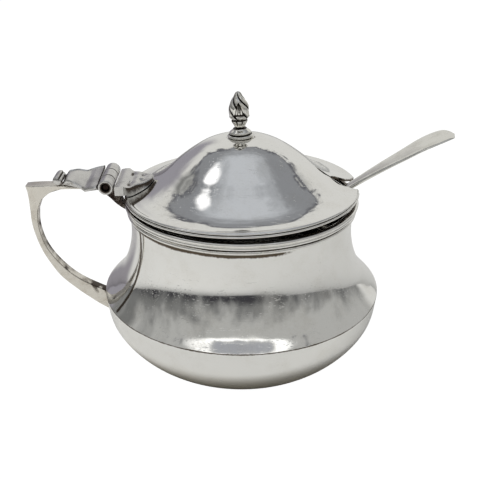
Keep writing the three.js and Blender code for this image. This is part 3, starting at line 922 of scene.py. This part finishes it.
finialShape = {
    "turns": 160, "base": 68.05, "lean": 2.0, "leanAbout": 68.0,
    "collar": [(1.2, 0.0), (3.4, 0.0), (3.68, 0.14), (3.7, 0.55), (3.45, 0.76), (3.0, 0.82), (2.85, 0.92),
               (3.05, 1.08), (3.15, 1.3), (3.0, 1.65), (2.55, 2.0), (2.15, 2.3), (1.9, 2.6), (1.2, 2.75)],
    "bud": [(1.5, 71.1), (1.75, 71.9), (2.2, 72.8), (2.6, 74.2), (2.75, 75.8), (2.65, 77.0), (2.2, 78.2),
            (1.6, 79.2), (1.1, 79.9), (0.92, 80.4), (0.62, 80.95), (0.0, 81.25)],
    "collarHeight": 2.75, "scallops": 8, "scallop": 0.05, "stud": 0.8, "studBottom": 64.9, "widest": 2.92,
    "petals": 5, "swirl": 0.36, "crease": 0.5, "panelBottom": 74.6, "panelTop": 78.6, "panelHalf": 1.35,
    "sepals": 8, "sepalsAt": 72.3, "belt": [(0.22, 74.0, 0.35), (-0.3, 73.2, 0.22)],
    "beltDark": [(0.8, 73.2, 0.3)], "leanFrom": (67.9, 68.6), "scallopAt": 0.25,
    "collarDark": [(1, 0.88, 0.12), (0.6, 2.65, 0.25), (0.4, 0.0, 0.12)],
    "swell": 0.18, "creaseDark": 1.2, "slitDark": 1.5, "ribDark": 0.5, "sepalDark": 0.8,
    "panelFootDark": 1.2, "panelEdgeDark": 0.7,
}


def finialCollar(shape):
    # the foot's profile carried round, with a shallow scallop on its flange
    profile = smoothLine(shape["collar"], 90) + [0, shape["base"]]
    profile[:, 1] = np.clip(profile[:, 1], shape["base"], shape["base"] + shape["collarHeight"])
    angle = roundAngles(shape["turns"])
    grid = turned(profile, angle)
    height = profile[:, 1:] - shape["base"]
    scallop = shape["scallop"] * np.cos(shape["scallops"] * angle) * hump(height, shape["scallopAt"], 0.3)
    grid = sideways(grid, scallop - 0.03)
    return [sheet(ajar(leaning(grid)), humps(height, shape["collarDark"]) + 0 * angle)]


def leaning(grid):
    # the whole finial stands a little off upright
    lean = radians(finialShape["lean"]) * ease(grid[..., 2], *finialShape["leanFrom"])
    lift = grid[..., 2] - finialShape["leanAbout"]
    x = grid[..., 0] * np.cos(lean) - lift * np.sin(lean)
    z = finialShape["leanAbout"] + grid[..., 0] * np.sin(lean) + lift * np.cos(lean)
    return np.stack([x, grid[..., 1], z], -1)


def flameBud(shape):
    # a bulb whose petals wind round it: each petal swells from one crease and drops sharply at
    # the next; on the front is a raised leaf with a slit, and below it a ring of small sepals
    line = smoothLine(shape["bud"], 230)
    angle = roundAngles(shape["turns"] * 2)
    r, z = line[:, :1], line[:, 1:]
    body = ease(z, 73.0, 74.4)
    wind = np.mod(angle + np.pi / 2 + shape["swirl"] * (z - 76.5), fullTurn) * shape["petals"] / fullTurn
    lap = np.mod(wind, 1)
    swell = shape["swell"] * np.sin(np.pi * lap) - shape["crease"] * bothEnds(lap, 0.09)
    sepal = np.mod(angle * shape["sepals"] / fullTurn + 0.5, 1)
    calyx = hump(z, shape["sepalsAt"], 0.8)
    sepals = 0.22 * np.abs(np.sin(np.pi * sepal)) - 0.3 * bothEnds(sepal, 0.12)
    belt = humps(z, shape["belt"])
    across = (np.mod(angle + np.pi / 2 + np.pi, fullTurn) - np.pi) * np.maximum(r, 0.6)
    rise = np.clip((z - shape["panelBottom"]) / (shape["panelTop"] - shape["panelBottom"]), 0, 1)
    width = shape["panelHalf"] * (1 - rise**1.5) ** 0.8
    inside = ease(width - np.abs(across), -0.05, 0.3) * ease(z, 74.6, 74.95) * ease(z, 79.0, 78.5)
    rim = hump(np.abs(across) - width, 0.12, 0.2) * ease(z, 74.3, 74.8) * ease(z, 79.3, 78.6)
    slit = hump(across, 0.05, 0.13) * ease(z, 75.4, 75.8) * ease(z, 78.2, 77.8)
    rib = 0.09 * np.cos(across * 7) * inside
    petals = swell * body * (1 - inside) * ease(r, 0.1, 1.4)
    panel = -0.16 * inside + 0.2 * rim + rib - 0.6 * slit
    fromEdge = width - np.abs(across)
    dark = shape["creaseDark"] * body * bothEnds(lap, 0.12) * (1 - inside) + shape["slitDark"] * slit
    dark = dark + shape["ribDark"] * inside * ease(-rib, 0.02, 0.09) + humps(z, shape["beltDark"])
    dark = dark + shape["sepalDark"] * calyx * bothEnds(sepal, 0.14)
    dark = dark + shape["panelFootDark"] * ease(fromEdge, -0.3, 0.1) * hump(z, 74.85, 0.25)
    dark = dark + shape["panelEdgeDark"] * inside * hump(fromEdge, 0.15, 0.2)
    radius = np.maximum(r + (petals + panel + sepals * calyx + belt) * ease(r, 0.05, 0.9), 0)
    radius = np.minimum(radius, shape["widest"])
    radius[-1] = 0
    grid = np.stack([radius * np.cos(angle), radius * np.sin(angle), z + 0 * angle], -1)
    stud = np.array([(0.0, shape["studBottom"]), (shape["stud"], shape["studBottom"] + 0.01),
                     (shape["stud"], shape["bud"][0][1] - 0.03), (0.9, shape["bud"][0][1] - 0.02)])
    grid = np.concatenate([turned(stud, angle), grid])
    dark = np.concatenate([np.full((len(stud), angle.size), 0.4), dark + 0 * angle])
    return [sheet(ajar(leaning(grid)), dark, wrapRows=False)]


makePiece("finial_foot", finialCollar(finialShape), "lid", ["finial_collar"], finialSilver, 50)
makePiece("flame_bud", flameBud(finialShape), "lid", ["finial_bud"], finialSilver, 60)
nut = frame["nodes"]["finial_nut"]
nut.data.materials.clear()
nut.data.materials.append(darkSilver)
print("finial ready")


spoonShape = {
    "top": [(61.2, 69.75), (59.2, 69.85), (56.5, 69), (52, 66.9), (46.5, 63.6), (41, 60.3), (36, 57.1),
            (30, 53.1), (22, 47.4), (12, 39.5), (2, 30.6), (-6, 22.6), (-11, 17.2)],
    "plan": [(61.2, 0.25), (61.0, 1.8), (60.2, 3.5), (58.6, 4.7), (55.8, 5.2), (52, 4.95), (46, 4.0),
             (40, 3.1), (34, 2.2), (26, 1.75), (10, 1.5), (-4, 1.6), (-9, 2.1), (-11, 2.6)],
    "thickness": (0.75, 1.4), "thickest": (24, 1.45), "thinning": 0.019, "squareness": 0.55,
    "crown": 0.12, "stemDark": 0.15, "bowlDark": 0.2,
    "bowl": (12.0, 7.3, 4.2), "bowlWall": 0.9, "bowlTurn": -46.0, "bowlAt": (-17.3, 10.9),
}


def spoonStem(shape):
    # a flattened section with soft shoulders carried down the stem, square to its run
    line = smoothLine(shape["top"], 200)
    plan = smoothLine(shape["plan"], 300)[::-1]
    x, z = line[:, 0], line[:, 1]
    half = np.interp(x, plan[:, 0], plan[:, 1])[:, None]
    run = np.gradient(line, axis=0)
    run /= np.linalg.norm(run, axis=1, keepdims=True)
    up = np.stack([-run[:, 1], run[:, 0]], -1)
    up *= np.sign(up[:, 1:])
    thickestAt, thickest = shape["thickest"]
    thick = np.clip(thickest - np.abs(x - thickestAt) * shape["thinning"], *shape["thickness"])[:, None]
    angle = roundAngles(48)
    power = shape["squareness"]
    across = np.sign(np.cos(angle)) * np.abs(np.cos(angle)) ** power * half
    lift = np.sign(np.sin(angle)) * np.abs(np.sin(angle)) ** power * thick / 2 - thick / 2
    lift = lift - shape["crown"] * (across / np.maximum(half, 0.1)) ** 4 * (np.sin(angle) > 0)
    grid = np.stack([x[:, None] + up[:, :1] * lift, across, z[:, None] + up[:, 1:] * lift], -1)
    return sheet(closedEnds(grid), shape["stemDark"], wrapRows=False)


def spoonBowl(shape):
    # a half egg: outer shell from its lowest point to the rim, then the inner shell back
    length, width, deep = shape["bowl"]
    wall = shape["bowlWall"]
    ring = np.linspace(0, np.pi / 2, 40)[:, None]
    angle = roundAngles(96)
    egg = 1 + 0.1 * np.cos(angle)
    x = length * np.sin(ring) * np.cos(angle)
    y = width * egg * np.sin(ring) * np.sin(angle) * 0.93
    outer = np.stack([x, y, -deep * np.cos(ring) + 0 * angle], -1)
    shrink = np.array([(length - wall) / length, (width - wall) / width, (deep - wall) / deep])
    grid = np.concatenate([outer, outer[::-1] * shrink])
    turn = radians(shape["bowlTurn"])
    x = grid[..., 0] * np.cos(turn) + grid[..., 2] * np.sin(turn) + shape["bowlAt"][0]
    z = -grid[..., 0] * np.sin(turn) + grid[..., 2] * np.cos(turn) + shape["bowlAt"][1]
    return sheet(np.stack([x, grid[..., 1], z], -1), shape["bowlDark"], wrapRows=False)


makePiece("condiment_spoon", [spoonStem(spoonShape), spoonBowl(spoonShape)], "spoon", ["spoon"],
          spoonSilver, 50)
print("spoon ready")


floorShape = {
    "size": 3.0, "drop": 0.00003, "tone": (0.84, 0.833, 0.805, 1), "glow": 1.13, "whiteness": 0.88,
    "footShade": (0.42, 0.39, 0.335, 1), "footSpan": (0.046, 0.028),  # metres from the axis
    "leftShade": (0.36, 0.34, 0.37, 1), "leftFrom": (28.0, 36.0), "leftTo": (84.0, 70.0),
    "leftSpan": (0.08, 0.13),
}


def buildFloor(shape):
    # a matt table whose reflected tone carries a painted shadow under the foot and a painted shadow of the
    # handle in a wedge at the left; to the camera itself it is nearly all white glow
    half = shape["size"] / 2
    low = float(cadBox[0][2]) - shape["drop"]
    mesh = bpy.data.meshes.new("table_top")
    corners = [(-half, -half, low), (half, -half, low), (half, half, low), (-half, half, low)]
    mesh.from_pydata(corners, [], [(0, 1, 2, 3)])
    floor = bpy.data.objects.new("table_top", mesh)
    bpy.context.scene.collection.objects.link(floor)
    material = bpy.data.materials.new("whiteTable")
    material.use_nodes = True
    tree = material.node_tree
    tree.nodes.clear()
    matt = put(tree, "ShaderNodeBsdfDiffuse")
    toCamera = put(tree, "ShaderNodeLightPath").outputs["Is Camera Ray"]
    unseen = calc(tree, "SUBTRACT", 1.0, toCamera)
    split = put(tree, "ShaderNodeSeparateXYZ")
    feed(tree, split.inputs[0], put(tree, "ShaderNodeTexCoord").outputs["Object"])
    x, y = split.outputs[:2]
    apart = calc(tree, "SQRT", total(tree, product(tree, x, x), product(tree, y, y)))
    foot = product(tree, step(tree, apart, *shape["footSpan"]), unseen)
    heading = calc(tree, "DEGREES", calc(tree, "ARCTAN2", y, product(tree, x, -1.0)))
    wedge = product(
        tree, step(tree, heading, *shape["leftFrom"]), step(tree, heading, *shape["leftTo"]),
        step(tree, apart, *shape["leftSpan"]), unseen,
    )
    tone = blendTone(tree, wedge, shape["tone"], shape["leftShade"])
    feed(tree, matt.inputs["Color"], blendTone(tree, foot, tone, shape["footShade"]))
    glow = put(tree, "ShaderNodeEmission")
    glow.inputs["Strength"].default_value = shape["glow"]
    mix = put(tree, "ShaderNodeMixShader")
    feed(tree, mix.inputs[0], product(tree, toCamera, shape["whiteness"]))
    feed(tree, mix.inputs[1], matt.outputs[0])
    feed(tree, mix.inputs[2], glow.outputs[0])
    output = put(tree, "ShaderNodeOutputMaterial")
    feed(tree, output.inputs["Surface"], mix.outputs[0])
    mesh.materials.append(material)


# angles are in degrees: elevation above the level, and headings round from the front; each pair is
# the two ends of a soft edge
tentShape = {
    "light": (0.67, 0.667, 0.648, 1), "slow": (2.4, 3.0, 0.55), "slowSwing": 12.0,
    "quick": (9.0, 4.0, 0.6), "quickSwing": 10.0,
    "frontPale": (0.43, 0.43, 0.42, 1), "frontGrey": (0.17, 0.172, 0.17, 1), "frontSpan": (132.0, 122.0),
    "frontTop": (62.0, 50.0), "foldWidth": 16.0, "foldHeight": 45.0, "paleAbove": 14.0, "paler": 0.008,
    "palerRight": 0.0012, "foldEdge": (0.34, 0.72),
    "upperFront": (0.36, 0.37, 0.40, 1), "upperFrom": (52.0, 57.0), "upperSpan": (118.0, 95.0),
    "bright": (1.25, 1.25, 1.24, 1), "archFrom": (47.5, 50.5), "archTo": (54.5, 51.5),
    "archSpan": (100.0, 50.0),
    "strip": (0.035, 0.034, 0.04, 1), "stripHeight": (11.0, 1.0), "stripPatches": (0.62, 0.3),
    "roof": (0.25, 0.258, 0.275, 1), "roofMiddle": (0.52, 0.54, 0.575, 1), "roofPale": (36.0, 12.0),
    "roofEdge": (0.07, 0.07, 0.085, 1), "roofHem": (0.9, 0.97), "roofHemDark": 0.75,
    "roofHalf": (45.0, 33.0), "roofBack": 8.0, "roofSlow": 0.7, "roofQuick": 0.4, "roofCut": (1.03, 0.99),
    "leftSide": (0.30, 0.29, 0.325, 1), "leftFrom": (-122.0, -128.0), "leftTo": (-172.0, -160.0),
    "leftTop": (34.0, 18.0),
    "window": (1.3, 1.3, 1.32, 1), "windowAt": (-0.485, 0.10, 0.869), "windowEdge": (0.987, 0.998),
    "behind": (1.05, 1.05, 1.05, 1),
}


def buildTent(shape):
    # the light tent as a function of direction: a pale back, a grey front with a dark line
    # where it meets the table, a bluish roof and one bright window high on the left
    world = bpy.data.worlds.new("lightTent")
    bpy.context.scene.world = world
    world.use_nodes = True
    tree = world.node_tree
    tree.nodes.clear()
    direction = put(tree, "ShaderNodeTexCoord").outputs["Generated"]
    split = put(tree, "ShaderNodeSeparateXYZ")
    feed(tree, split.inputs[0], direction)
    x, y, z = split.outputs
    slow = calc(tree, "SUBTRACT", grainNoise(tree, direction, *shape["slow"]), 0.5)
    quick = calc(tree, "SUBTRACT", grainNoise(tree, direction, *shape["quick"]), 0.5)
    elevation = calc(tree, "DEGREES", calc(tree, "ARCSINE", z))
    azimuth = calc(tree, "DEGREES", calc(tree, "ARCTAN2", x, product(tree, y, -1.0)))
    around = calc(tree, "ABSOLUTE", azimuth)
    wavy = total(tree, elevation, product(tree, slow, shape["slowSwing"]))
    ragged = total(tree, wavy, product(tree, quick, shape["quickSwing"]))
    inFront = step(tree, total(tree, around, product(tree, slow, 16.0)), *shape["frontSpan"])
    # hangings in front: grey folds that run upright and get paler towards the top and the right
    foldPlace = put(tree, "ShaderNodeCombineXYZ")
    feed(tree, foldPlace.inputs[0], calc(tree, "DIVIDE", azimuth, shape["foldWidth"]))
    feed(tree, foldPlace.inputs[1], calc(tree, "DIVIDE", elevation, shape["foldHeight"]))
    higher = product(tree, calc(tree, "SUBTRACT", elevation, shape["paleAbove"]), shape["paler"])
    further = product(tree, azimuth, shape["palerRight"])
    folds = total(tree, grainNoise(tree, foldPlace.outputs[0], 1.0, 4.0, 0.6), higher, further)
    hanging = blendTone(tree, step(tree, folds, *shape["foldEdge"]), shape["frontGrey"], shape["frontPale"])
    low = step(tree, ragged, *shape["frontTop"])
    tone = blendTone(tree, product(tree, inFront, low), shape["light"], hanging)
    above = product(tree, step(tree, ragged, *shape["upperFrom"]), step(tree, around, *shape["upperSpan"]))
    tone = blendTone(tree, above, tone, shape["upperFront"])
    arch = product(
        tree, step(tree, wavy, *shape["archFrom"]), step(tree, ragged, *shape["archTo"]),
        step(tree, around, *shape["archSpan"]),
    )
    tone = blendTone(tree, arch, tone, shape["bright"])
    fade = step(tree, total(tree, elevation, product(tree, quick, 9.0)), *shape["stripHeight"])
    patchy = step(tree, total(tree, folds, calc(tree, "DIVIDE", around, 400.0)), *shape["stripPatches"])
    strip = product(tree, fade, inFront, total(tree, 0.25, patchy))
    tone = blendTone(tree, calc(tree, "MINIMUM", strip, 0.92), tone, shape["strip"])
    # roof: an oval in the flat map where distance from the middle is the angle from overhead,
    # paler near the middle and dark along its ragged hem
    level = calc(tree, "SQRT", total(tree, product(tree, x, x), product(tree, y, y)))
    angle = calc(tree, "SUBTRACT", 90.0, elevation)
    fromTop = calc(tree, "DIVIDE", angle, calc(tree, "MAXIMUM", level, 0.001))
    halfWidth, halfDepth = shape["roofHalf"]
    mapX = calc(tree, "DIVIDE", product(tree, fromTop, x), halfWidth)
    mapY = calc(tree, "SUBTRACT", product(tree, fromTop, y), shape["roofBack"])
    mapY = calc(tree, "DIVIDE", mapY, halfDepth)
    squares = (calc(tree, "POWER", calc(tree, "ABSOLUTE", place), 4.0) for place in (mapX, mapY))
    oval = calc(tree, "POWER", total(tree, *squares), 0.25)
    oval = total(tree, oval, product(tree, slow, shape["roofSlow"]), product(tree, quick, shape["roofQuick"]))
    middle = step(tree, total(tree, angle, product(tree, quick, 26.0)), *shape["roofPale"])
    roof = blendTone(tree, middle, shape["roof"], shape["roofMiddle"])
    hem = product(tree, step(tree, oval, *shape["roofHem"]), shape["roofHemDark"])
    roof = blendTone(tree, hem, roof, shape["roofEdge"])
    tone = blendTone(tree, step(tree, oval, *shape["roofCut"]), tone, roof)
    # left wall of the tent, with the dark fold where it meets the front
    leftSide = product(
        tree, step(tree, azimuth, *shape["leftFrom"]), step(tree, azimuth, *shape["leftTo"]),
        step(tree, ragged, *shape["leftTop"]),
    )
    tone = blendTone(tree, leftSide, tone, shape["leftSide"])
    window = put(tree, "ShaderNodeVectorMath", operation="DOT_PRODUCT")
    feed(tree, window.inputs[0], direction)
    window.inputs[1].default_value = shape["windowAt"]
    facing = total(tree, window.outputs["Value"], product(tree, quick, 0.012))
    tone = blendTone(tree, step(tree, facing, *shape["windowEdge"]), tone, shape["window"])
    background = put(tree, "ShaderNodeBackground")
    seen = put(tree, "ShaderNodeLightPath").outputs["Is Camera Ray"]
    feed(tree, background.inputs["Color"], blendTone(tree, seen, tone, shape["behind"]))
    output = put(tree, "ShaderNodeOutputWorld")
    feed(tree, output.inputs["Surface"], background.outputs[0])


lampShape = {"place": (-0.25, -0.15, 0.65), "size": 0.45, "power": 2.15}


def buildLamp(shape):
    # a soft disc that looks at the origin and isn't mirrored in the silver
    data = bpy.data.lights.new("softBox", "AREA")
    data.shape = "DISK"
    data.size = shape["size"]
    data.energy = shape["power"]
    lamp = bpy.data.objects.new("softBox", data)
    lamp.location = shape["place"]
    lamp.rotation_euler = (-lamp.location).to_track_quat("-Z", "Y").to_euler()
    lamp.visible_glossy = False
    bpy.context.scene.collection.objects.link(lamp)


cameraShape = {"lens": 57.06, "shift": -0.0031, "place": (0, -0.21093, 0.13456), "downward": 25.04}


def buildCamera(shape):
    data = bpy.data.cameras.new("tableCamera")
    data.lens = shape["lens"]
    data.shift_x = shape["shift"]
    camera = bpy.data.objects.new("tableCamera", data)
    camera.location = shape["place"]
    camera.rotation_euler = (radians(90 - shape["downward"]), 0, 0)
    bpy.context.scene.collection.objects.link(camera)
    bpy.context.scene.camera = camera


buildFloor(floorShape)
buildTent(tentShape)
buildLamp(lampShape)
buildCamera(cameraShape)
bpy.context.scene.view_settings.view_transform = "Standard"
print("studio ready")
